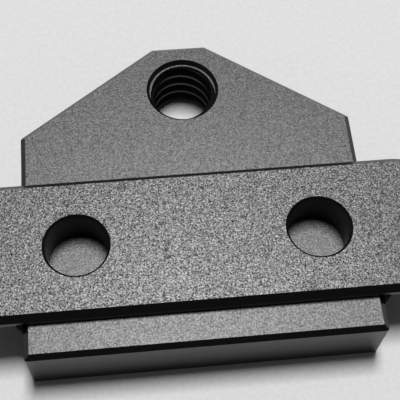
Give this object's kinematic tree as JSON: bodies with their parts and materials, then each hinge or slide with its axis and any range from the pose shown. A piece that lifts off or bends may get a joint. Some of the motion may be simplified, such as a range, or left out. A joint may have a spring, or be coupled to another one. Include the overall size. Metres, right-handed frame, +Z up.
{
  "type": "mounting block",
  "caption": "Machined mounting block: a low block with a pointed, threaded tab, crossed by a thin round-ended bar with two blind locating bores and a screw hole in each ear.",
  "frame": {"origin": "on the underside, midway between the two locating bores", "axes": "+X along the cross bar, +Y towards the tip of the threaded tab, +Z up out of the bores"},
  "size_m": [0.0462, 0.0288, 0.0072],
  "materials": {
    "anodised_aluminium": "fine bead blast under black anodising"
  },
  "bodies": {
    "root": {"mounting_block": "anodised_aluminium"}
  },
  "joints": []
}
